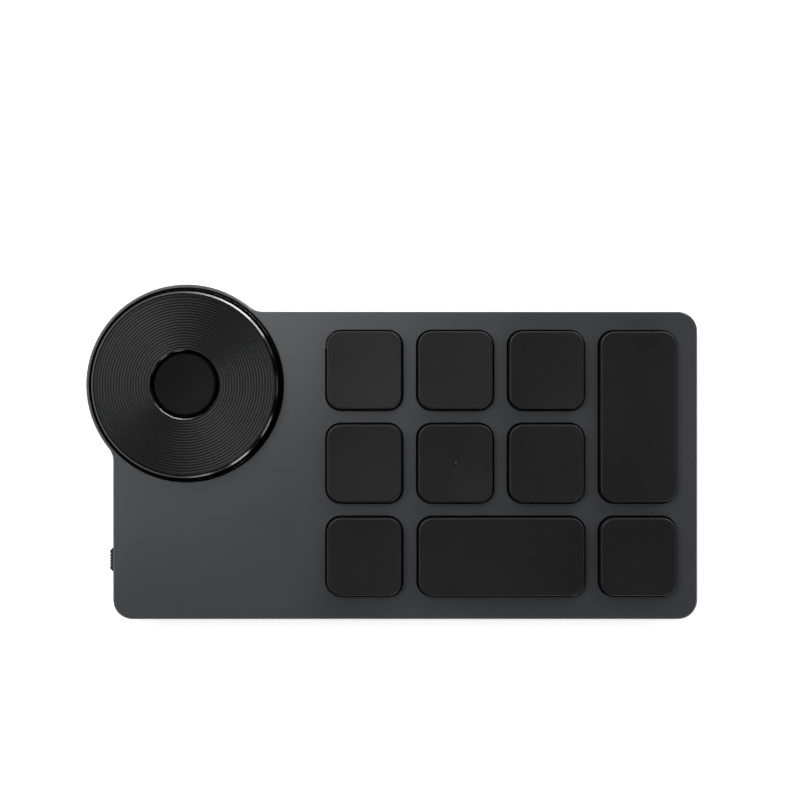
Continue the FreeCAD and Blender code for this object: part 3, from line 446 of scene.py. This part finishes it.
# ------------------------------------------------------------------ light
def area(name, at, aim, size, power, color=(1, 1, 1), size_y=None):
    d = bpy.data.lights.new(name, "AREA")
    d.shape = "RECTANGLE" if size_y else "DISK"
    d.size = size
    if size_y:
        d.size_y = size_y
    d.energy = power
    d.color = color
    o = bpy.data.objects.new(name, d)
    o.location = at
    o.rotation_euler = (Vector(aim) - Vector(at)).to_track_quat("-Z", "Y").to_euler()
    o.visible_camera = False
    scene.collection.objects.link(o)
    return o


world = bpy.data.worlds.new("studio")
scene.world = world
world.use_nodes = True
world.node_tree.nodes["Background"].inputs["Color"].default_value = (1, 1, 1, 1)
world.node_tree.nodes["Background"].inputs["Strength"].default_value = 0.01


def lamp(kind, azimuth, height, size, size_y, radiance, reach=1.0):
    """A soft box at this azimuth (from +X, towards +Y) and elevation, turned to the object."""
    a, e = math.radians(azimuth), math.radians(height)
    at = (reach * math.cos(a) * math.cos(e), reach * math.sin(a) * math.cos(e), reach * math.sin(e))
    return area(f"{kind}_{azimuth}", at, (0, 0, 0.01), size, radiance * size * size_y * math.pi, size_y=size_y)


# low strips that rim the dial, the lobe and the keys
for azimuth, radiance in ((0, 0.95), (30, 0.79), (45, 11.85), (60, 24), (120, 5), (150, 4), (270, 8.38), (300, 9), (330, 4.01)):
    lamp("low", azimuth, 3.43, 0.26, 0.11, radiance)
# the strongest ones light the dial alone, as if a screen kept them off the plate and the keys
DIAL = ("dial_knob", "dial_face", "button_cap", "button_guide")
on_dial = bpy.data.collections.new("on_dial")
off_dial = bpy.data.collections.new("off_dial")
for o in list(scene.objects):
    if o.type == "MESH":
        (on_dial if o in [nodes[name] for name in DIAL] else off_dial).objects.link(o)
for azimuth, radiance in ((75, 28), (90, 30.8), (105, 17.3)):
    lamp("rim", azimuth, 3.43, 0.26, 0.11, radiance).light_linking.receiver_collection = on_dial
# soft boxes all round
for azimuth, radiance in ((30, 4.5), (60, 5), (90, 5), (120, 1.6), (150, 1.2), (300, 5), (330, 2.15)):
    lamp("mid", azimuth, 27, 0.45, 0.30, radiance)
for azimuth, radiance in ((0, 1.04), (90, 0.52), (135, 4.67), (180, 4.15)):
    lamp("high", azimuth, 55, 0.45, 0.40, radiance)
for azimuth, radiance in ((135, 0.2),):
    lamp("steep", azimuth, 72, 0.40, 0.34, radiance)
# small boxes over the dial, whose glow lies on the plate beside it and leaves the dial dark
for x, y, radiance in ((-0.08, 0.1, 7.49),):
    area(f"near_{x}_{y}", (x, y, 0.45), (-0.04, 0.015, 0.01), 0.09, radiance * 0.09 * 0.09 * math.pi, size_y=0.09).light_linking.receiver_collection = off_dial

# ------------------------------------------------------------------ camera
PLATE = 9.8 * MM
DIST = 0.35
cam = bpy.data.cameras.new("camera")
cam.sensor_width = 36
cam.lens = 36 * DIST / 0.1660
cam.clip_start = 0.01
cam.clip_end = 50
co = bpy.data.objects.new("camera", cam)
co.location = (0.00169, 0.01078, PLATE + DIST)
co.rotation_euler = (0, 0, 0)
scene.collection.objects.link(co)
scene.camera = co
